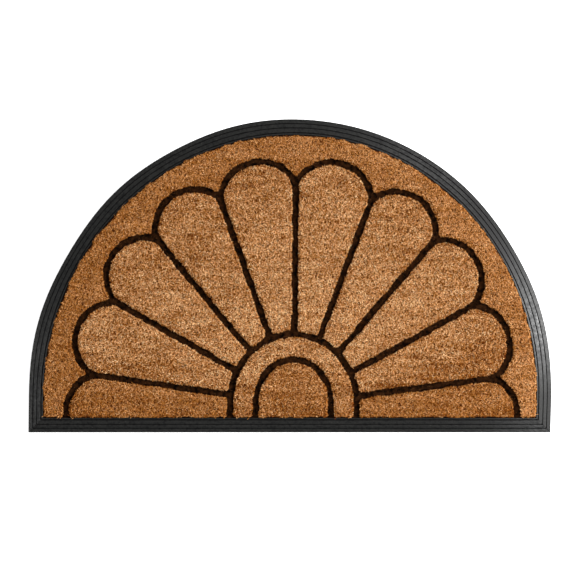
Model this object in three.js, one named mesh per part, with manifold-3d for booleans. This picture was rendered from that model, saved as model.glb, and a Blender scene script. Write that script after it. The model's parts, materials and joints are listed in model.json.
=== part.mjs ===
// A half-round coir doormat, about 75 x 45 cm. One moulded black rubber tray, with a ribbed border and
// low dividing ribs, holds thirteen bonded pads of brushed coir. The bare ribs between the pads draw a
// fan of ten petals around a ring and a half-round centre.
//
// Millimetres, +Z up. The long straight edge lies along X, facing -Y, and the arch rises towards +Y.
// The origin is the middle of the mat's box, on the floor.

import * as THREE from "three";
import { mergeVertices } from "three/addons/utils/BufferGeometryUtils.js";
import Module from "manifold-3d";

// Driving dimensions.
const MAT = {
  halfWidth: 375,
  depth: 450,
  straightSide: 53, // height of the upright sides below the arch
  lean: 6, // how far the crown of the arch stands off the middle of the straight edge
};
// The arch isn't quite even: its edges swell and shrink in waves. waves is how many there would be on a
// full turn, and start is in degrees.
const SWELLING = {
  outerEdge: [
    { height: 1.35, waves: 0, start: 0 },
    { height: 1.35, waves: 1, start: -168 },
    { height: 0.6, waves: 10, start: 33 },
    { height: 0.45, waves: 12, start: 176 },
  ],
  innerEdge: [
    { height: 0.3, waves: 0, start: 0 },
    { height: 0.4, waves: 2, start: -85 },
  ],
};
const BORDER = {
  side: 20.8,
  crown: 23.1,
  front: 21,
  edgeHeight: 2.2, // upright outer face
  outerHeight: 3.2, // the middles of the ridges lie on one slope, from this height at the outer edge
  innerHeight: 7, // to this one at the inner edge
  ridgeSteepness: 2, // how many times as steep as that slope the top of each ridge is
  grooveDepth: 0.8,
  grooveBottom: 0.35, // where a groove is deepest, as a part of its width from its outer side
};
// The tops of the border's ridges, outermost first, as parts of its width. A groove lies between each
// two, and the last one falls to the ribs' height.
const RIDGES = [
  { from: 0.02, to: 0.25 },
  { from: 0.31, to: 0.52 },
  { from: 0.58, to: 0.82 },
  { from: 0.88, to: 0.98 },
];
const FLOOR = 3; // rubber sheet under the pads
const RIB = { width: 9.4, height: 5.4 };
const PILE_TOP = 12;
const GAP = 0.3; // clearance of each pad to the tray
const CORNER = {
  sharp: 30, // a pad's outline is rounded where it turns more than this, in degrees
  reach: 4, // length to each side that becomes the curve
};
const SAME_POINT = 1e-4; // vertices closer than this are one
const FAN = {
  centre: new THREE.Vector2(6.8, 41), // where the spokes meet
  capShift: -3.5, // the caps of the petals sit a little to one side of the spokes' centre
  tipHalfWidth: 293, // ellipse around the centre, through the spokes' outer ends
  tipHeight: 320,
  capHalfWidth: 324.9, // ellipse through the petals' outermost points
  capHeight: 352.5,
  shoulder: 10, // length over which a petal's side turns into its cap
};
// The ribs between the petals, from left to right: degrees clockwise from +Y, and how far a rib's tip
// stands out of the even ellipse. The first and the last would lie below the straight edge.
const SPOKES = [
  { angle: -102.7, tip: 0 },
  { angle: -81.8, tip: -1.8 },
  { angle: -60.3, tip: -3.2 },
  { angle: -39.8, tip: 0.5 },
  { angle: -19.9, tip: -2 },
  { angle: 0.4, tip: -1.3 },
  { angle: 20.8, tip: -1 },
  { angle: 40.6, tip: 3.7 },
  { angle: 61.2, tip: -4.2 },
  { angle: 82.7, tip: -4 },
  { angle: 103.7, tip: -2.5 },
];
// How far each petal's outermost point stands out of its ellipse, from left to right.
const CROWNS = [-0.5, -0.4, -0.6, -0.5, -0.3, 0.9, 1.6, 1.5, -0.7, -0.5];
const RING = {
  shift: -1.3, // the ring stands a little to one side of the spokes' centre, too
  outerHalfWidth: 90.8,
  outerHeight: 100.2,
  innerHalfWidth: 54.4,
  innerHeight: 64.1,
};

// Chords that stand for each curve.
const STEPS = {
  matArch: 84,
  petalCap: 14,
  shoulder: 4,
  petalFoot: 5,
  ringArch: 24,
  scallop: 12,
  corner: 4,
};

const COIR_COLOURS = { petal: 0xad7b4e, ring: 0xa5733f, outer: 0x9f6437, centre: 0x995f35 };
const RUBBER_COLOUR = 0x2c2b2b;

// A unit vector, turned clockwise from +Y by the given degrees.
function heading(degrees) {
  const turn = THREE.MathUtils.degToRad(degrees);
  return new THREE.Vector2(Math.sin(turn), Math.cos(turn));
}

// The point where a ray that starts inside an ellipse leaves it.
function exitPoint(start, direction, centre, semiX, semiY) {
  const from = start.clone().sub(centre).divide(new THREE.Vector2(semiX, semiY));
  const step = direction.clone().divide(new THREE.Vector2(semiX, semiY));
  const half = from.dot(step);
  const square = step.lengthSq();
  const distance = (Math.sqrt(half * half - square * (from.lengthSq() - 1)) - half) / square;
  return start.clone().addScaledVector(direction, distance);
}

// Points along an ellipse, from one angle to another, in radians clockwise from +Y. swelling gives how
// far it stands out at each angle.
function ellipseArc(centre, semiX, semiY, from, to, steps, swelling = () => 0) {
  return Array.from({ length: steps + 1 }, (_, i) => {
    const angle = THREE.MathUtils.lerp(from, to, i / steps);
    const out = swelling(angle);
    const x = centre.x + (semiX + out) * Math.sin(angle);
    const y = centre.y + (semiY + out) * Math.cos(angle);
    return new THREE.Vector2(x, y);
  });
}

function angleOn(centre, semiX, semiY, point) {
  return Math.atan2((point.x - centre.x) / semiX, (point.y - centre.y) / semiY);
}

function circleThrough(a, b, c) {
  const ab = b.clone().sub(a);
  const ac = c.clone().sub(a);
  const cross = 2 * ab.cross(ac);
  const toCentre = new THREE.Vector2(
    (ac.y * ab.lengthSq() - ab.y * ac.lengthSq()) / cross,
    (ab.x * ac.lengthSq() - ac.x * ab.lengthSq()) / cross,
  );
  return { centre: a.clone().add(toCentre), radius: toCentre.length() };
}

// The outer of the two points where circles widened by the same amount cross.
function outerCrossing(a, b, widened) {
  const span = b.centre.clone().sub(a.centre);
  const length = span.length();
  const radiusA = a.radius + widened;
  const radiusB = b.radius + widened;
  const along = (length * length + radiusA * radiusA - radiusB * radiusB) / (2 * length);
  const across = Math.sqrt(radiusA * radiusA - along * along);
  const unit = span.divideScalar(length);
  return a.centre
    .clone()
    .addScaledVector(unit, along)
    .addScaledVector(new THREE.Vector2(-unit.y, unit.x), across);
}

// How far waves stand out at an angle.
function waveHeight(list, angle) {
  const heights = list.map(
    ({ height, waves, start }) => height * Math.cos(waves * angle + THREE.MathUtils.degToRad(start)),
  );
  return heights.reduce((sum, height) => sum + height);
}

// The mat's outline, or a line inside it: across runs from 0 at the outer edge to 1 at the border's
// inner edge, and inset is a further distance inwards. It starts at the left end of the straight edge.
function matOutline(across, inset = 0) {
  const halfWidth = MAT.halfWidth - across * BORDER.side - inset;
  const low = across * BORDER.front + inset;
  const rise = MAT.depth - MAT.straightSide - across * BORDER.crown - inset;
  const centre = new THREE.Vector2(0, MAT.straightSide);
  const swelling = (angle) => {
    const outer = waveHeight(SWELLING.outerEdge, angle);
    return THREE.MathUtils.lerp(outer, waveHeight(SWELLING.innerEdge, angle), across);
  };
  const arch = ellipseArc(
    centre, halfWidth, rise, Math.PI / 2, -Math.PI / 2, STEPS.matArch, swelling,
  );
  const points = [new THREE.Vector2(-halfWidth, low), new THREE.Vector2(halfWidth, low), ...arch];
  for (const point of points) point.x += (MAT.lean * point.y) / MAT.depth;
  return points;
}

const ringCentre = FAN.centre.clone().setX(FAN.centre.x + RING.shift);

// A rib's tip, and the circle that closes each petal between two tips.
function spokeTip({ angle, tip }) {
  const along = heading(angle);
  const even = exitPoint(FAN.centre, along, FAN.centre, FAN.tipHalfWidth, FAN.tipHeight);
  return even.addScaledVector(along, tip);
}

const capCentre = FAN.centre.clone().setX(FAN.centre.x + FAN.capShift);
const caps = CROWNS.map((crown, i) => {
  const [left, right] = [SPOKES[i], SPOKES[i + 1]];
  const middle = heading((left.angle + right.angle) / 2);
  const even = exitPoint(FAN.centre, middle, capCentre, FAN.capHalfWidth, FAN.capHeight);
  return circleThrough(spokeTip(left), even.addScaledVector(middle, crown), spokeTip(right));
});

// The pads' outlines. margin is the distance to the middle line of a rib, edge that to the border.
const front = (edge) => BORDER.front + edge;

function petalOutline(index, margin, edge) {
  const cap = caps[index];
  const radius = cap.radius - margin;
  const ringX = RING.outerHalfWidth + margin;
  const ringY = RING.outerHeight + margin;

  // One side of the petal: its inner corner, and its outer one on the cap. side is 1 for the left side.
  const corners = (angle, side) => {
    if (Math.abs(angle) > 90) {
      const towards = Math.sign(angle);
      const start = new THREE.Vector2(ringCentre.x + towards * ringX, front(edge));
      const outer = exitPoint(start, heading(towards * 90), cap.centre, radius, radius);
      return { cut: true, inner: start, outer };
    }
    const along = heading(angle);
    const start = FAN.centre.clone().addScaledVector(new THREE.Vector2(along.y, -along.x), side * margin);
    return {
      cut: false,
      along,
      inner: exitPoint(start, along, ringCentre, ringX, ringY),
      outer: exitPoint(start, along, cap.centre, radius, radius),
    };
  };
  const left = corners(SPOKES[index].angle, 1);
  const right = corners(SPOKES[index + 1].angle, -1);

  const capTurn = FAN.shoulder / radius;
  const capStart = angleOn(cap.centre, radius, radius, left.outer) + (left.cut ? 0 : capTurn);
  const capEnd = angleOn(cap.centre, radius, radius, right.outer) - (right.cut ? 0 : capTurn);
  const capArc = ellipseArc(cap.centre, radius, radius, capStart, capEnd, STEPS.petalCap);
  const shoulder = (corner, arcPoint) => {
    if (corner.cut) return [];
    const sidePoint = corner.outer.clone().addScaledVector(corner.along, -FAN.shoulder);
    const curve = new THREE.QuadraticBezierCurve(sidePoint, corner.outer, arcPoint);
    return curve.getPoints(STEPS.shoulder).slice(0, -1);
  };

  // Along the ring, back to the left side. A cut petal follows the ring's leg down to the border.
  const footAngle = (corner, sign) =>
    corner.cut ? (sign * Math.PI) / 2 : angleOn(ringCentre, ringX, ringY, corner.inner);
  const foot = ellipseArc(
    ringCentre, ringX, ringY, footAngle(right, 1), footAngle(left, -1), STEPS.petalFoot,
  );
  return [
    ...(left.cut ? [left.inner] : []),
    ...shoulder(left, capArc[0]),
    ...capArc,
    ...shoulder(right, capArc.at(-1)).reverse(),
    ...(right.cut ? [right.inner] : []),
    ...foot,
  ];
}

// An arch on straight legs that stand on the border.
function archOutline(halfWidth, height, edge) {
  return [
    new THREE.Vector2(ringCentre.x - halfWidth, front(edge)),
    ...ellipseArc(ringCentre, halfWidth, height, -Math.PI / 2, Math.PI / 2, STEPS.ringArch),
    new THREE.Vector2(ringCentre.x + halfWidth, front(edge)),
  ];
}

function centreOutline(margin, edge) {
  return archOutline(RING.innerHalfWidth - margin, RING.innerHeight - margin, edge);
}

function ringOutline(margin, edge) {
  return [
    ...archOutline(RING.outerHalfWidth - margin, RING.outerHeight - margin, edge),
    ...archOutline(RING.innerHalfWidth + margin, RING.innerHeight + margin, edge).reverse(),
  ];
}

// The band between the petals and the border: down the scalloped inner side from right to left.
function outerOutline(margin, edge) {
  const onFront = (cap, towards) => {
    const start = new THREE.Vector2(cap.centre.x, front(edge));
    return exitPoint(start, heading(towards), cap.centre, cap.radius + margin, cap.radius + margin);
  };
  const joints = [
    onFront(caps[0], -90),
    ...caps.slice(1).map((cap, i) => outerCrossing(caps[i], cap, margin)),
    onFront(caps.at(-1), 90),
  ];
  const scallops = caps.flatMap((cap, i) => {
    const radius = cap.radius + margin;
    const from = angleOn(cap.centre, radius, radius, joints[i]);
    const to = angleOn(cap.centre, radius, radius, joints[i + 1]);
    return ellipseArc(cap.centre, radius, radius, from, to, STEPS.scallop).slice(i ? 1 : 0);
  });
  const [frontLeft, frontRight, ...arch] = matOutline(1, edge);
  return [frontRight, ...arch, frontLeft, ...scallops];
}

const pads = [
  ...caps.map((_, i) => ({
    name: `coir_petal_${String(i + 1).padStart(2, "0")}`,
    outline: (margin, edge) => petalOutline(i, margin, edge),
    colour: COIR_COLOURS.petal,
  })),
  { name: "coir_outer_field", outline: outerOutline, colour: COIR_COLOURS.outer },
  { name: "coir_ring", outline: ringOutline, colour: COIR_COLOURS.ring },
  { name: "coir_centre", outline: centreOutline, colour: COIR_COLOURS.centre },
];

// The point at the given distance along a closed outline from one of its corners, forwards for a step
// of 1 and backwards for -1, and the corners passed on the way.
function walk(outline, corner, step, distance) {
  const passed = [];
  let index = corner;
  let left = distance;
  for (;;) {
    const next = (index + step + outline.length) % outline.length;
    const length = outline[index].distanceTo(outline[next]);
    if (length >= left) return { point: outline[index].clone().lerp(outline[next], left / length), passed };
    left -= length;
    index = next;
    passed.push(index);
  }
}

// An outline with its sharp corners rounded.
function rounded(outline, reach) {
  const dropped = new Set();
  const curves = new Map();
  outline.forEach((corner, i) => {
    const arriving = corner.clone().sub(outline.at(i - 1));
    const leaving = outline[(i + 1) % outline.length].clone().sub(corner);
    const turn = Math.abs(Math.atan2(arriving.cross(leaving), arriving.dot(leaving)));
    if (THREE.MathUtils.radToDeg(turn) < CORNER.sharp) return;
    const before = walk(outline, i, -1, reach);
    const after = walk(outline, i, 1, reach);
    for (const index of [...before.passed, ...after.passed]) dropped.add(index);
    curves.set(i, new THREE.QuadraticBezierCurve(before.point, corner, after.point));
  });
  return outline.flatMap((point, i) => {
    if (curves.has(i)) return curves.get(i).getPoints(STEPS.corner);
    return dropped.has(i) ? [] : [point];
  });
}

function slab(outline, bottom, top) {
  const geometry = new THREE.ExtrudeGeometry(new THREE.Shape(outline), {
    depth: top - bottom,
    bevelEnabled: false,
  });
  return geometry.translate(0, 0, bottom);
}

// A closed skin over a stack of outlines, which all have the same number of points.
function loft(levels) {
  const count = levels[0].outline.length;
  const vertices = levels.flatMap(({ outline, z }) => outline.flatMap((point) => [point.x, point.y, z]));
  const faces = [];
  for (let level = 0; level + 1 < levels.length; level++) {
    for (let i = 0; i < count; i++) {
      const here = level * count + i;
      const next = level * count + ((i + 1) % count);
      faces.push(here, next, next + count, here, next + count, here + count);
    }
  }
  const last = (levels.length - 1) * count;
  for (const [a, b, c] of THREE.ShapeUtils.triangulateShape(levels[0].outline, [])) faces.push(c, b, a);
  for (const [a, b, c] of THREE.ShapeUtils.triangulateShape(levels.at(-1).outline, []))
    faces.push(last + a, last + b, last + c);
  return new THREE.BufferGeometry()
    .setAttribute("position", new THREE.Float32BufferAttribute(vertices, 3))
    .setIndex(faces);
}

// The section of the border, from the floor at its outer edge over the ridges to the ribs' height.
function borderLevels() {
  const section = [
    { across: 0, z: 0 },
    { across: 0, z: BORDER.edgeHeight },
  ];
  const slope = (across) => THREE.MathUtils.lerp(BORDER.outerHeight, BORDER.innerHeight, across);
  RIDGES.forEach(({ from, to }, i) => {
    const middle = (from + to) / 2;
    for (const across of [from, to])
      section.push({ across, z: slope(middle + (across - middle) * BORDER.ridgeSteepness) });
    if (i + 1 < RIDGES.length) {
      const groove = THREE.MathUtils.lerp(to, RIDGES[i + 1].from, BORDER.grooveBottom);
      section.push({ across: groove, z: slope(groove) - BORDER.grooveDepth });
    }
  });
  section.push({ across: 1, z: RIB.height });
  return section.map(({ across, z }) => ({ outline: matOutline(across), z }));
}

const wasm = await Module();
wasm.setup();

function toSolid(geometry) {
  const bare = geometry.clone();
  bare.deleteAttribute("normal");
  bare.deleteAttribute("uv");
  const merged = mergeVertices(bare, SAME_POINT);
  return new wasm.Manifold(
    new wasm.Mesh({
      numProp: 3,
      vertProperties: merged.getAttribute("position").array,
      triVerts: new Uint32Array(merged.index.array),
    }),
  );
}

function toGeometry(solid) {
  const mesh = solid.getMesh();
  const geometry = new THREE.BufferGeometry()
    .setAttribute("position", new THREE.BufferAttribute(mesh.vertProperties, 3))
    .setIndex(new THREE.BufferAttribute(mesh.triVerts, 1));
  geometry.computeVertexNormals();
  return geometry;
}

// The tray: a solid lofted up to the ribs' height, with a well sunk in it for each pad.
function makeTray() {
  let tray = toSolid(loft(borderLevels()));
  for (const pad of pads) {
    const outline = rounded(pad.outline(RIB.width / 2, 0), CORNER.reach + GAP);
    tray = tray.subtract(toSolid(slab(outline, FLOOR, PILE_TOP)));
  }
  return toGeometry(tray);
}

const doormat = new THREE.Group();

const rubber = new THREE.MeshStandardMaterial({ color: RUBBER_COLOUR, roughness: 0.6, metalness: 0 });
const tray = new THREE.Mesh(makeTray(), rubber);
tray.name = "rubber_base";
doormat.add(tray);

for (const pad of pads) {
  const coir = new THREE.MeshStandardMaterial({ color: pad.colour, roughness: 1, metalness: 0 });
  const outline = rounded(pad.outline(RIB.width / 2 + GAP, GAP), CORNER.reach);
  const mesh = new THREE.Mesh(slab(outline, FLOOR + GAP, PILE_TOP), coir);
  mesh.name = pad.name;
  doormat.add(mesh);
}

const plan = new THREE.Box2().setFromPoints(matOutline(0)).getCenter(new THREE.Vector2());
doormat.position.set(-plan.x, -plan.y, 0);

export default doormat;
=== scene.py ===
import json
from math import cos, pi, radians, sin

import bmesh
import bpy
import numpy as np
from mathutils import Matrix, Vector, geometry, noise


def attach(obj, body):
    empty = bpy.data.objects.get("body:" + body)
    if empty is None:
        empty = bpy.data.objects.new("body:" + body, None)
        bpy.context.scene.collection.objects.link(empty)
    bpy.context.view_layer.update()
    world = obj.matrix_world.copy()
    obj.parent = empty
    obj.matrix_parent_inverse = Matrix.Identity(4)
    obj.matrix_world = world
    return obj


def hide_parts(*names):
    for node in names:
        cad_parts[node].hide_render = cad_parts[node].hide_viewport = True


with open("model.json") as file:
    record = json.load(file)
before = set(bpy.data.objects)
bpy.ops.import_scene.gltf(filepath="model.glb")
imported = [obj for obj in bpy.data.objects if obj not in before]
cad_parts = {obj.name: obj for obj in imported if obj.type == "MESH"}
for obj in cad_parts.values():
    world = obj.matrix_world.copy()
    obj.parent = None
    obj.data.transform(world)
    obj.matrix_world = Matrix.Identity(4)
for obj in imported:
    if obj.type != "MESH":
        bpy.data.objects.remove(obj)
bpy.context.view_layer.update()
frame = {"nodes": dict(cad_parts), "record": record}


# ---- Rubber tray -------------------------------------------------------------------------------
# One moulding of black rubber: a thin sheet with low ribs that part the coir, and a border that
# climbs to the coir in four ridges. Each ridge has a soft shoulder on its outer side and falls off
# sharply on its inner side. The ridges come out smooth and shiny. The grooves and ribs come out dull
# and painted darker, as painted shade in the grooves and between the pads.

SHOULDER_RADIUS = 0.0006
STEEP = 0.45  # faces whose normals rise less than this are the sharp sides
SHARP_RADIUS = 0.0003
RIB_RADIUS = 0.00045
RIDGE_TOP = 0.9  # faces of the border whose normals rise more than this are the ridges' tops
RIDGE_ANGLE = radians(14)  # edges that turn more than this are ridges of the moulding
FLAT_ANGLE = radians(0.3)
SAME_POINT = 0.00001
FACING_DOWN = -0.99  # faces whose normals rise less than this are the underside

slot_of = {part["node"]: part["material_slot"] for part in frame["record"]["subparts"]}


def linear(red, green, blue):
    """A shader colour from its everyday 0-255 values."""
    shares = [value / 255 for value in (red, green, blue)]
    return [((s + 0.055) / 1.055) ** 2.4 if s > 0.04 else s / 12.92 for s in shares] + [1]


def merged_copy(node):
    """A node's mesh with its loose triangles joined and its flat faces whole again."""
    shape = bmesh.new()
    shape.from_mesh(frame["nodes"][node].data)
    bmesh.ops.remove_doubles(shape, verts=shape.verts, dist=SAME_POINT)
    bmesh.ops.dissolve_limit(shape, angle_limit=FLAT_ANGLE, verts=shape.verts, edges=shape.edges)
    return shape


def new_material(name, roughness, specular):
    material = bpy.data.materials.new(name)
    material.use_nodes = True
    shader = material.node_tree.nodes["Principled BSDF"]
    shader.inputs["Roughness"].default_value = roughness
    shader.inputs["Specular IOR Level"].default_value = specular
    return material, material.node_tree.nodes, material.node_tree.links, shader


def noise_texture(nodes, links, size, detail):
    """Noise on Object coordinates, with blotches of about the given size in metres."""
    texture = nodes.new("ShaderNodeTexNoise")
    texture.inputs["Scale"].default_value = 1 / size
    texture.inputs["Detail"].default_value = detail
    links.new(nodes.new("ShaderNodeTexCoord").outputs["Object"], texture.inputs["Vector"])
    return texture.outputs["Fac"]


def ramp(nodes, links, factor, *stops):
    """A colour ramp with a stop for each (position, colour)."""
    node = nodes.new("ShaderNodeValToRGB")
    while len(node.color_ramp.elements) < len(stops):
        node.color_ramp.elements.new(1)
    for element, (position, colour) in zip(node.color_ramp.elements, stops):
        element.position = position
        element.color = colour
    links.new(factor, node.inputs["Fac"])
    return node.outputs["Color"]


def combined(nodes, links, how, first, second):
    """Two colours multiplied or added."""
    node = nodes.new("ShaderNodeMix")
    node.data_type = "RGBA"
    node.blend_type = how
    node.inputs["Factor"].default_value = 1
    links.new(first, node.inputs["A"])
    links.new(second, node.inputs["B"])
    return node.outputs["Result"]


def add_bump(nodes, links, shader, height, strength, distance):
    bump = nodes.new("ShaderNodeBump")
    bump.inputs["Strength"].default_value = strength
    bump.inputs["Distance"].default_value = distance
    links.new(height, bump.inputs["Height"])
    links.new(bump.outputs["Normal"], shader.inputs["Normal"])


def grey(value):
    return (value, value, value, 1)


SPECK = 0.0012  # size of the specks of dust
SPECK_FADE = 0.14  # how softly they end
GRAIN = {"size": 0.002, "strength": 0.4, "depth": 0.0001}


def make_rubber(name, blotch, specular, shiny, dull, darker, lighter, dust_colour, dusty):
    """Black rubber with a fine moulded grain, blotched in its tone and shine, and specks of dust."""
    material, nodes, links, shader = new_material(name, dull, specular)
    mottle = noise_texture(nodes, links, blotch, 3)
    black = ramp(nodes, links, mottle, (0.35, linear(*darker)), (0.65, linear(*lighter)))
    specks = noise_texture(nodes, links, SPECK, 3)
    dust = ramp(nodes, links, specks, (dusty, grey(0)), (dusty + SPECK_FADE, linear(*dust_colour)))
    links.new(combined(nodes, links, "ADD", black, dust), shader.inputs["Base Color"])
    sheen = ramp(nodes, links, mottle, (0.35, grey(dull)), (0.65, grey(shiny)))
    links.new(sheen, shader.inputs["Roughness"])
    grain = noise_texture(nodes, links, GRAIN["size"], 5)
    add_bump(nodes, links, shader, grain, GRAIN["strength"], GRAIN["depth"])
    return material


def is_inside(points, outline):
    """Which points lie inside the outline: a line from each crosses it an odd number of times."""
    inside = np.zeros(len(points), bool)
    for (x0, y0), (x1, y1) in zip(outline, np.roll(outline, -1, 0)):
        between = (points[:, 1] < y0) != (points[:, 1] < y1)
        if y0 != y1:
            inside ^= between & (points[:, 0] < x0 + (points[:, 1] - y0) * (x1 - x0) / (y1 - y0))
    return inside


def add_piece(name, mesh, slot, *materials):
    """A finished piece at the origin, riding on the mat's one body."""
    for material in materials:
        mesh.materials.append(material)
    piece = bpy.data.objects.new(name, mesh)
    bpy.context.scene.collection.objects.link(piece)
    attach(piece, "root")
    return piece


shiny_rubber = make_rubber(
    "shiny_rubber", blotch=0.0035, specular=0.12, shiny=0.24, dull=0.38,
    darker=(20, 20, 20), lighter=(38, 38, 37), dust_colour=(64, 60, 56), dusty=0.64,
)
# Grooves and steep sides: a darker, duller copy of the border's rubber, as painted shade in the grooves.
groove_rubber_painted_shade = make_rubber(
    "groove_rubber_painted_shade", blotch=0.0035, specular=0.02, shiny=0.6, dull=0.8,
    darker=(10, 10, 10), lighter=(20, 20, 20), dust_colour=(60, 56, 52), dusty=0.7,
)
# Ribs: painted near black, darker than the border, as shade between the pads; the specks are coir dust.
rib_rubber_painted_shade = make_rubber(
    "rib_rubber_painted_shade", blotch=0.006, specular=0.01, shiny=0.6, dull=0.8,
    darker=(0, 0, 0), lighter=(40, 21, 8), dust_colour=(110, 78, 50), dusty=0.64,
)
SHINY, GROOVES, RIBS = range(3)  # the order of these three on the tray

# The line where the border ends and the coir begins goes round all the pads.
pad_nodes = [node for node in slot_of if node.startswith("coir")]
pad_corners = [vert.co.xy for node in pad_nodes for vert in frame["nodes"][node].data.vertices]
coir_limit = np.array([pad_corners[i] for i in geometry.convex_hull_2d(pad_corners)])

shape = merged_copy("rubber_base")
underside = sum(face.calc_area() for face in shape.faces if face.normal.z < FACING_DOWN)
for kind, radius in (("shoulder", SHOULDER_RADIUS), ("sharp", SHARP_RADIUS), ("rib", RIB_RADIUS)):
    ridges = [edge for edge in shape.edges if edge.calc_face_angle() > RIDGE_ANGLE]
    ridges = [edge for edge in ridges if max(vert.co.z for vert in edge.verts) > 0]
    middles = np.array([(edge.verts[0].co + edge.verts[1].co).xy / 2 for edge in ridges])
    chosen = []
    for edge, among_coir in zip(ridges, is_inside(middles, coir_limit)):
        soft = edge.is_convex and min(face.normal.z for face in edge.link_faces) > STEEP
        if kind == ("rib" if among_coir else "shoulder" if soft else "sharp"):
            chosen.append(edge)
    bmesh.ops.bevel(
        shape, geom=chosen, affect="EDGES", offset_type="OFFSET", offset=radius,
        segments=4, profile=0.5, material=-1, clamp_overlap=True,
    )
# Faces among the coir take the rib rubber, and the border's faces below the ridges' tops take the groove
# rubber. Both are painted darker as shade.
middles = np.array([face.calc_center_median().xy for face in shape.faces])
for face, among_coir in zip(shape.faces, is_inside(middles, coir_limit)):
    face.smooth = True
    face.material_index = RIBS if among_coir else SHINY if face.normal.z > RIDGE_TOP else GROOVES
mesh = bpy.data.meshes.new("rubber_tray")
shape.to_mesh(mesh)
shape.free()
rubbers = (shiny_rubber, groove_rubber_painted_shade, rib_rubber_painted_shade)
tray = add_piece("rubber_tray", mesh, slot_of["rubber_base"], *rubbers)
tray.modifiers.new("even_flats", "WEIGHTED_NORMAL")
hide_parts("rubber_base")


# ---- Coir pads ---------------------------------------------------------------------------------
# Thirteen pads of coconut fibre, bonded into the tray's wells and brushed. Low down the fibres are
# matted together. Above that they stand as stiff bristles, mown level, with some long bent hairs
# among them. At a pad's edge the pile slopes down, and some of it reaches over the rib.

MATTED_TOP = 0.0082  # height of the matted part
PILE_TOP = 0.012
DARKEST = 0.0055  # height down to which the coir is painted darker, as shade deep in the pile
BRISTLES = {"per_m2": 940000, "lean": (18, 58), "width": (0.0005, 0.00085)}
HAIRS = {"per_m2": 36000, "step": (0.0014, 0.003), "width": 0.00042, "bend": 0.6, "lighter": 0.12}
HAIR_DEPTH = (0.0003, 0.001)  # how far below the top of the pile a hair lies
HAIR_DROPS = (0.0025, 0.0003, 0, 0.0006)  # and how much lower each of its four points is, root first
STRAYING = 0.1  # share of the hairs that may cross a rib
EDGE_ZONE = 0.005  # within this of a pad's edge the pile slopes down and is painted darker, as shade
EDGE_DROP = 0.003
EDGE_SHADE = 0.08
MATTED_SLANT = 0.0015  # how far in the matted part's top edge lies from its foot
ROOT_DEPTH = 0.0006  # how deep in the matted part the bristles start
EDGE_ROOT_DEPTH = 0.002  # and how much deeper at the very edge
DROP_SHARES = (0.5, 1.3)  # each bristle at the edge is lower by a share of EDGE_DROP between these
UNEVEN_TOPS = 0.0012  # how much shorter than the longest a bristle may be
WAVES = {"height": 0.0004, "length": 0.02}  # the whole top rises and falls
BRISTLE_TURN = 0.7  # how far a bristle may be turned about its own length
EDGE_SPACING = 0.0006  # between the bristles that lie on that slope
EDGE_RUN = (0.0012, 0.0032)  # how far in from its foot the tip of such a bristle is
EDGE_ASTRAY = 0.001  # and how far along the edge
EDGE_FOOT = (0.0064, 0.0084)  # heights of its foot and tip
EDGE_TIP = (0.01, 0.0114)
UNEVEN_EDGE = {"depth": 0.002, "length": 0.01}  # the edge wears back and bulges here and there
OVER_RIB = (-0.0001, 0.0012)  # how far bristles reach over a rib
OVER_BORDER = (-0.0014, 0)  # and the border, where they end just before it unless the edge bulges
RAGGED = 0.9  # how much more uneven the coir's edge is beside the arch's border than beside a rib
STRAIGHT_EDGE = 0.004  # within this of the straight border it is only as uneven as beside a rib
BESIDE = 0.0005  # how far beside an outline a point is tried, to tell the inside from the outside

# What makes a fibre lighter or darker than its neighbours, beside plain chance: broad patches, the
# uneven rows that the coir is laid in, and their return at about the same pitch up the mat.
PATCHES = {"share": 0.1, "size": 0.05}
ROWS = (1 / 0.035, 1 / 0.0055)  # one over a row's length, and one over its width
ROW_SHARE = 0.95
ROW_PITCH = 0.0139
ROW_WANDER = {"share": 0.16, "turn": 2, "size": 0.06}
NOISE_LAYERS = {"patches": 0.5, "wear": 40.5, "rows": 60.5, "wander": 80.5}  # read apart from each other
TONE_STEP = 0.003  # half the width of a fibre on the tone map

# How light each pad is in the middle, how much that changes for each metre to the right and up the
# mat, and how much its fibres differ. The mat is darker towards the straight edge.
PAD_TONES = {
    "coir_petal_01": {"tone": 0.32, "right": 0.2, "up": 2.6, "spread": 0.15},
    "coir_petal_02": {"tone": 0.45, "right": 0.45, "up": 0.9, "spread": 0.23},
    "coir_petal_03": {"tone": 0.455, "right": 0.6, "up": -0.15, "spread": 0.23},
    "coir_petal_04": {"tone": 0.435, "right": 0.1, "up": -0.8, "spread": 0.23},
    "coir_petal_05": {"tone": 0.455, "right": 0.95, "up": -0.35, "spread": 0.23},
    "coir_petal_06": {"tone": 0.49, "right": -0.1, "up": -0.6, "spread": 0.23},
    "coir_petal_07": {"tone": 0.455, "right": -0.3, "up": -0.4, "spread": 0.23},
    "coir_petal_08": {"tone": 0.515, "right": -0.4, "up": -0.1, "spread": 0.23},
    "coir_petal_09": {"tone": 0.37, "right": -1.1, "up": 1.7, "spread": 0.23},
    "coir_petal_10": {"tone": 0.315, "right": -0.1, "up": 2.25, "spread": 0.16},
    "coir_outer_field": {"tone": 0.38, "right": 0.12, "up": 0, "spread": 0.13},
    "coir_ring": {"tone": 0.435, "right": -0.1, "up": 1.75, "spread": 0.23},
    "coir_centre": {"tone": 0.345, "right": -0.85, "up": 1.6, "spread": 0.19},
}


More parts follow.
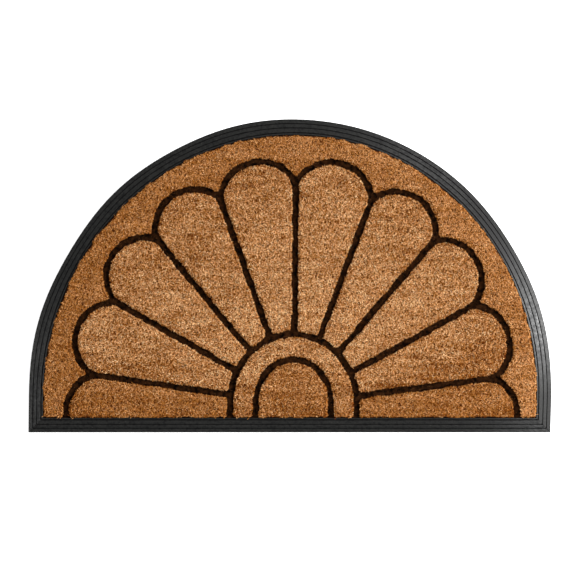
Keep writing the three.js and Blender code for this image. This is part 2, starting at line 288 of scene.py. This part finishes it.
def make_coir(name):
    """Coir coloured by its tone map: how light a fibre is goes across, and its height goes up."""
    material, nodes, links, shader = new_material(name, 0.75, 0.1)
    tone_map = nodes.new("ShaderNodeUVMap")
    tone_map.uv_map = "OFBake"
    axes = nodes.new("ShaderNodeSeparateXYZ")
    links.new(tone_map.outputs["UV"], axes.inputs["Vector"])
    fibre = ramp(
        nodes, links, axes.outputs["X"],
        (0.0, linear(116, 51, 0)),
        (0.3, linear(173, 110, 43)),
        (0.6, linear(228, 171, 114)),
        (1.0, linear(251, 221, 169)),
    )
    # Low in the pile a fibre is painted darker and redder: painted shade deep in the pile.
    depth = ramp(nodes, links, axes.outputs["Y"], (0.2, (0.46, 0.33, 0.2, 1)), (0.8, grey(1)))
    links.new(combined(nodes, links, "MULTIPLY", fibre, depth), shader.inputs["Base Color"])
    return material


CLUMPS = {"size": 0.0016, "depth": 0.001}


def make_matted():
    """The matted part deep in the pile, in the shade of the bristles, painted dark brown and darker
    still lower down as painted shade.
    """
    material, nodes, links, shader = new_material("matted_coir", 0.9, 0.15)
    clumps = noise_texture(nodes, links, CLUMPS["size"], 5)
    brown = ramp(nodes, links, clumps, (0.3, linear(44, 18, 4)), (0.7, linear(96, 50, 18)))
    place = nodes.new("ShaderNodeSeparateXYZ")
    links.new(nodes.new("ShaderNodeTexCoord").outputs["Object"], place.inputs["Vector"])
    height = nodes.new("ShaderNodeMapRange")
    height.inputs["From Max"].default_value = MATTED_TOP
    links.new(place.outputs["Z"], height.inputs["Value"])
    # Painted shade: the lower, the darker.
    depth = ramp(nodes, links, height.outputs["Result"], (0.4, grey(0.05)), (1.0, grey(1)))
    links.new(combined(nodes, links, "MULTIPLY", brown, depth), shader.inputs["Base Color"])
    add_bump(nodes, links, shader, clumps, 1, CLUMPS["depth"])
    return material


def edge_near(points, outline):
    """Each point's distance to the outline, and the unit vector from it straight towards it."""
    best = np.full(len(points), np.inf)
    towards = np.zeros_like(points)
    for start, end in zip(outline, np.roll(outline, -1, 0)):
        along = end - start
        share = np.clip((points - start) @ along / (along @ along), 0, 1)
        step = start + share[:, None] * along - points
        distance = np.hypot(*step.T)
        closer = distance < best
        best[closer] = distance[closer]
        towards[closer] = step[closer] / np.maximum(distance[closer], SAME_POINT)[:, None]
    return best, towards


def scattered(outline, per_m2, dice):
    """Points spread over the inside of an outline, one in each cell of a grid."""
    cell = per_m2 ** -0.5
    low, high = outline.min(0), outline.max(0)
    columns, rows = np.ceil((high - low) / cell).astype(int)
    grid = np.stack(np.meshgrid(np.arange(columns), np.arange(rows)), -1).reshape(-1, 2)
    points = low + (grid + dice.random(grid.shape)) * cell
    return points[is_inside(points, outline)]


def drift(points, size, seed):
    """Slow variation over the mat, about -1 to 1, with patches of the given size."""
    return np.array([noise.noise(Vector((x / size, y / size, seed))) for x, y in points])


def unit(vectors):
    return vectors / np.linalg.norm(vectors, axis=-1, keepdims=True)


def headed(angle):
    return np.stack([np.cos(angle), np.sin(angle)], -1)


def fibre_mesh(corners, faces, points, look, seed, dice, steps, sunk=0, lighter=0):
    """Corners, faces and tone map of many like fibres that stand at the given points.

    corners holds each fibre's corners, faces and steps say how one fibre's are joined and placed
    across the tone map, look is the pad's own, and sunk is how much lower than the rest they stand,
    which the painted shade low in the pile leaves out.
    """
    count, corners_each, _ = corners.shape
    middle = points.mean(0)
    tones = look["tone"] + lighter + (points - middle) @ (look["right"], look["up"])
    patches = drift(points, PATCHES["size"], seed + NOISE_LAYERS["patches"])
    rows = drift(points * ROWS, 1, seed + NOISE_LAYERS["rows"])
    uneven = PATCHES["share"] * patches + ROW_SHARE * rows
    wander = drift(points, ROW_WANDER["size"], seed + NOISE_LAYERS["wander"])
    phase = 2 * pi * points[:, 1] / ROW_PITCH + ROW_WANDER["turn"] * wander
    uneven += ROW_WANDER["share"] * np.sin(phase) + dice.normal(0, 1, count)
    tones = np.clip(tones + uneven * look["spread"], 0.01, 0.99)
    across = tones[:, None] + np.array(steps) * TONE_STEP
    # The height across the tone map sets the painted shade low in the pile.
    height = (corners[:, :, 2].T + sunk - DARKEST).T / (PILE_TOP - DARKEST)
    height = np.clip(height, 0, 1)
    all_faces = np.arange(count)[:, None, None] * corners_each + np.array(faces)
    return corners.reshape(-1, 3), all_faces.reshape(-1, 3), np.stack([across, height], 2).reshape(-1, 2)


def bristle_corners(roots, tips, dice):
    """Four corners for each bristle: an edge at its root, and a crosswise one at its tip."""
    count = len(roots)
    along = unit(tips - roots)
    level = unit(np.cross(along, (0, 0, 1)))
    upright = np.cross(along, level)
    roll = dice.uniform(-BRISTLE_TURN, BRISTLE_TURN, (count, 1))
    half_width = dice.uniform(*BRISTLES["width"], (count, 1)) / 2
    tip_edge = (level * np.cos(roll) + upright * np.sin(roll)) * half_width
    root_edge = (upright * np.cos(roll) - level * np.sin(roll)) * half_width
    return np.stack([roots - root_edge, roots + root_edge, tips - tip_edge, tips + tip_edge], 1)


BRISTLE_FACES = [(0, 2, 1), (0, 1, 3), (0, 3, 2), (1, 2, 3)]
BRISTLE_STEPS = (-1, 1, -1, 1)


def wear(points, seed):
    """How far a pad's edge is worn back near each point, or how far it bulges where negative."""
    uneven = drift(points, UNEVEN_EDGE["length"], seed + NOISE_LAYERS["wear"])
    return UNEVEN_EDGE["depth"] * uneven


def room_beyond(points, distance, worn, dice):
    """How far out fibres may reach from points at the given distance inside a pad's edge.

    That is a little way over a rib, or about as far as the border, less the wear there.
    """
    to_border, _ = edge_near(points, coir_limit)
    over_rib = distance + dice.uniform(*OVER_RIB, len(points))
    along_arch = points[:, 1] > coir_limit[:, 1].min() + STRAIGHT_EDGE
    over_border = to_border + dice.uniform(*OVER_BORDER, len(points)) - RAGGED * worn * along_arch
    return np.minimum(over_rib, over_border) - worn


def standing_bristles(outline, look, dice, seed):
    """The bristles all over a pad. One that would reach too far over the edge leans back instead."""
    feet = scattered(outline, BRISTLES["per_m2"], dice)
    distance, _ = edge_near(feet, outline)
    feet = feet[distance > wear(feet, seed)]
    count = len(feet)
    distance, outwards = edge_near(feet, outline)
    worn = wear(feet, seed)
    nearness = np.clip(1 - (distance - worn) / EDGE_ZONE, 0, 1)
    foot_height = MATTED_TOP - ROOT_DEPTH - nearness * EDGE_ROOT_DEPTH
    drop = EDGE_DROP * nearness ** 2 * dice.uniform(*DROP_SHARES, count)
    top = PILE_TOP - drop - dice.uniform(0, UNEVEN_TOPS, count)
    top = top + WAVES["height"] * drift(feet, WAVES["length"], seed)
    sway = headed(dice.uniform(0, 2 * pi, count))
    reach = (top - foot_height) * np.tan(np.radians(dice.uniform(*BRISTLES["lean"], count)))
    outward_share = (sway * outwards).sum(1)
    blocked = reach * outward_share > room_beyond(feet, distance, worn, dice)
    sway[blocked] -= 2 * outward_share[blocked, None] * outwards[blocked]
    roots = np.column_stack([feet, foot_height])
    tips = np.column_stack([feet + sway * reach[:, None], top])
    corners = bristle_corners(roots, tips, dice)
    # Painted shade: fibres near the edge are made darker in tone.
    lighter = -EDGE_SHADE * nearness
    return fibre_mesh(corners, BRISTLE_FACES, feet, look, seed, dice, BRISTLE_STEPS, drop, lighter)


def edge_bristles(outline, look, dice, seed):
    """Bristles that lie on the slope at a pad's edge, from over the rib up into the pile."""
    ends = np.roll(outline, -1, 0)
    lengths = np.hypot(*(ends - outline).T)
    walked = np.arange(0, lengths.sum(), EDGE_SPACING)
    count = len(walked)
    side = np.searchsorted(np.cumsum(lengths), walked).clip(max=len(outline) - 1)
    share = dice.random((count, 1))
    feet = outline[side] * (1 - share) + ends[side] * share
    along = unit(ends - outline)[side]
    outwards = along[:, ::-1] * (1, -1)
    outwards *= np.where(is_inside(feet + outwards * BESIDE, outline), -1, 1)[:, None]
    room = room_beyond(feet, np.zeros(count), wear(feet, seed), dice)
    feet = feet + outwards * room[:, None]
    back = outwards * dice.uniform(*EDGE_RUN, (count, 1))
    astray = along * dice.normal(0, EDGE_ASTRAY, (count, 1))
    roots = np.column_stack([feet, dice.uniform(*EDGE_FOOT, count)])
    tips = np.column_stack([feet - back + astray, dice.uniform(*EDGE_TIP, count)])
    corners = bristle_corners(roots, tips, dice)
    # Edge bristles get the full painted shade of the edge.
    return fibre_mesh(
        corners, BRISTLE_FACES, feet, look, seed, dice, BRISTLE_STEPS, EDGE_DROP, -EDGE_SHADE
    )


def bent_hairs(outline, look, dice, seed):
    """Long bent hairs that lie in the top of the pile, three-sided and pointed at both ends."""
    middles = scattered(outline, HAIRS["per_m2"], dice)
    count = len(middles)
    heading = dice.uniform(0, 2 * pi, count)
    bend = dice.uniform(-HAIRS["bend"], HAIRS["bend"], count)
    step = dice.uniform(*HAIRS["step"], (count, 1))
    before, after = middles - headed(heading) * step / 2, middles + headed(heading) * step / 2
    root, tip = before - headed(heading - bend) * step, after + headed(heading + bend) * step
    top = PILE_TOP - dice.uniform(*HAIR_DEPTH, count)
    spine = [
        np.column_stack([point, top - drop])
        for point, drop in zip((root, before, after, tip), HAIR_DROPS)
    ]
    along = unit(spine[2] - spine[1])
    level = unit(np.cross(along, (0, 0, 1)))
    upright = np.cross(along, level)
    ring = [
        (level * cos(turn) + upright * sin(turn)) * HAIRS["width"] / 2
        for turn in (0, 2 * pi / 3, 4 * pi / 3)
    ]
    corners = [spine[0], *(spine[1] + out for out in ring), *(spine[2] + out for out in ring), spine[3]]
    faces = []
    for a, b in ((1, 2), (2, 3), (3, 1)):
        faces += [(0, b, a), (a, b, b + 3), (a, b + 3, a + 3), (a + 3, b + 3, 7)]
    straying = dice.random(count) < STRAYING
    kept = is_inside(tip, coir_limit) & is_inside(root, outline)
    kept &= straying | is_inside(tip, outline)
    corners = np.stack(corners, 1)[kept]
    steps = (0, -1, 0, 1, -1, 0, 1, 0)
    return fibre_mesh(
        corners, faces, middles[kept], look, seed, dice, steps, lighter=HAIRS["lighter"]
    )


def joined_mesh(name, layers):
    """One mesh of several layers of fibres, with their tone map."""
    starts = np.cumsum([0] + [len(corners) for corners, _, _ in layers])
    corners = np.concatenate([corners for corners, _, _ in layers])
    faces = np.concatenate([faces + start for (_, faces, _), start in zip(layers, starts)])
    tone_map = np.concatenate([places for _, _, places in layers])
    mesh = bpy.data.meshes.new(name)
    mesh.from_pydata(corners, [], faces)
    mesh.uv_layers.new(name="OFBake").data.foreach_set("uv", tone_map[faces].ravel())
    return mesh


matted_coir = make_matted()
coir = {slot_of[node]: make_coir(slot_of[node]) for node in pad_nodes}
for seed, node in enumerate(pad_nodes):
    dice = np.random.default_rng(seed)
    shape = merged_copy(node)
    top = max(shape.faces, key=lambda face: face.calc_center_median().z)
    outline = np.array([vert.co.xy for vert in top.verts])
    area = top.calc_area()
    before, after = np.roll(outline, 1, 0), np.roll(outline, -1, 0)
    to_before, to_after = unit(before - outline), unit(after - outline)
    inwards = unit(to_before[:, ::-1] * (1, -1) + to_after[:, ::-1] * (-1, 1))
    inwards *= np.where(is_inside(outline + inwards * BESIDE, outline), 1, -1)[:, None]
    for vert, step in zip(top.verts, inwards * MATTED_SLANT):
        vert.co.x += step[0]
        vert.co.y += step[1]
        vert.co.z = MATTED_TOP
    mesh = bpy.data.meshes.new(node + "_matted")
    shape.to_mesh(mesh)
    shape.free()
    pad = add_piece(node + "_matted", mesh, slot_of[node], matted_coir)
    layers = [
        make_layer(outline, PAD_TONES[node], dice, seed)
        for make_layer in (standing_bristles, edge_bristles, bent_hairs)
    ]
    mesh = joined_mesh(node + "_pile", layers)
    pile = add_piece(node + "_pile", mesh, slot_of[node], coir[slot_of[node]])
    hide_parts(node)


# ---- Floor, light and camera -------------------------------------------------------------------
# A plain pale floor, a softbox high on the right, weak fills on the left and behind, a small lamp at
# the near right corner, and an even surround. The camera looks straight down at the mat.

FLOOR_DROP = 0.0002  # below the mat's underside
FLOOR_GLOW = 0.6
FLOOR_SIZE = 8
FLOOR_CLOUDS = 0.4
SURROUND_GLOW = 0.36

floor_material, nodes, links, shader = new_material("pale_floor", 0.9, 0.2)
paint = ramp(
    nodes, links, noise_texture(nodes, links, FLOOR_CLOUDS, 2),
    (0.3, linear(244, 244, 244)), (0.7, linear(250, 250, 250)),
)
links.new(paint, shader.inputs["Base Color"])
shader.inputs["Emission Color"].default_value = grey(1)
shader.inputs["Emission Strength"].default_value = FLOOR_GLOW
shape = bmesh.new()
bmesh.ops.create_grid(shape, x_segments=1, y_segments=1, size=FLOOR_SIZE)
bmesh.ops.translate(shape, verts=shape.verts, vec=(0, 0, -FLOOR_DROP))
mesh = bpy.data.meshes.new("floor")
shape.to_mesh(mesh)
shape.free()
mesh.materials.append(floor_material)
floor = bpy.data.objects.new("floor", mesh)
bpy.context.scene.collection.objects.link(floor)

world = bpy.data.worlds.new("surround")
bpy.context.scene.world = world
world.use_nodes = True
background = world.node_tree.nodes["Background"]
background.inputs["Color"].default_value = grey(1)
background.inputs["Strength"].default_value = SURROUND_GLOW

LAMPS = {
    "softbox": {"place": (4.51, 0.9, 3.86), "aim": (0, 0, 0), "size": 1, "power": 575},
    "corner_lamp": {"place": (0.43, -0.58, 0.42), "aim": (0.34, -0.22, 0), "size": 0.15, "power": 1.0},
    "left_fill": {"place": (-3.9, -0.27, 4.6), "aim": (0, 0, 0), "size": 2, "power": 60},
    "rear_fill": {"place": (2.4, 3.2, 4.4), "aim": (0, 0, 0), "size": 2, "power": 82},
}
for name, look in LAMPS.items():
    lamp = bpy.data.lights.new(name, "AREA")
    lamp.shape = "DISK"
    lamp.size = look["size"]
    lamp.energy = look["power"]
    stand = bpy.data.objects.new(name, lamp)
    stand.location = look["place"]
    backwards = Vector(look["place"]) - Vector(look["aim"])
    stand.rotation_euler = backwards.to_track_quat("Z", "Y").to_euler()
    bpy.context.scene.collection.objects.link(stand)

FRAME_WIDTH = 0.83375  # width of floor in view
CAMERA = Vector((0.0001, -0.0205, 8))
SENSOR = 36
lens = bpy.data.cameras.new("camera")
lens.sensor_width = SENSOR
lens.lens = SENSOR * CAMERA.z / FRAME_WIDTH
camera = bpy.data.objects.new("camera", lens)
camera.location = CAMERA
bpy.context.scene.collection.objects.link(camera)
bpy.context.scene.camera = camera
bpy.context.scene.view_settings.view_transform = "Standard"
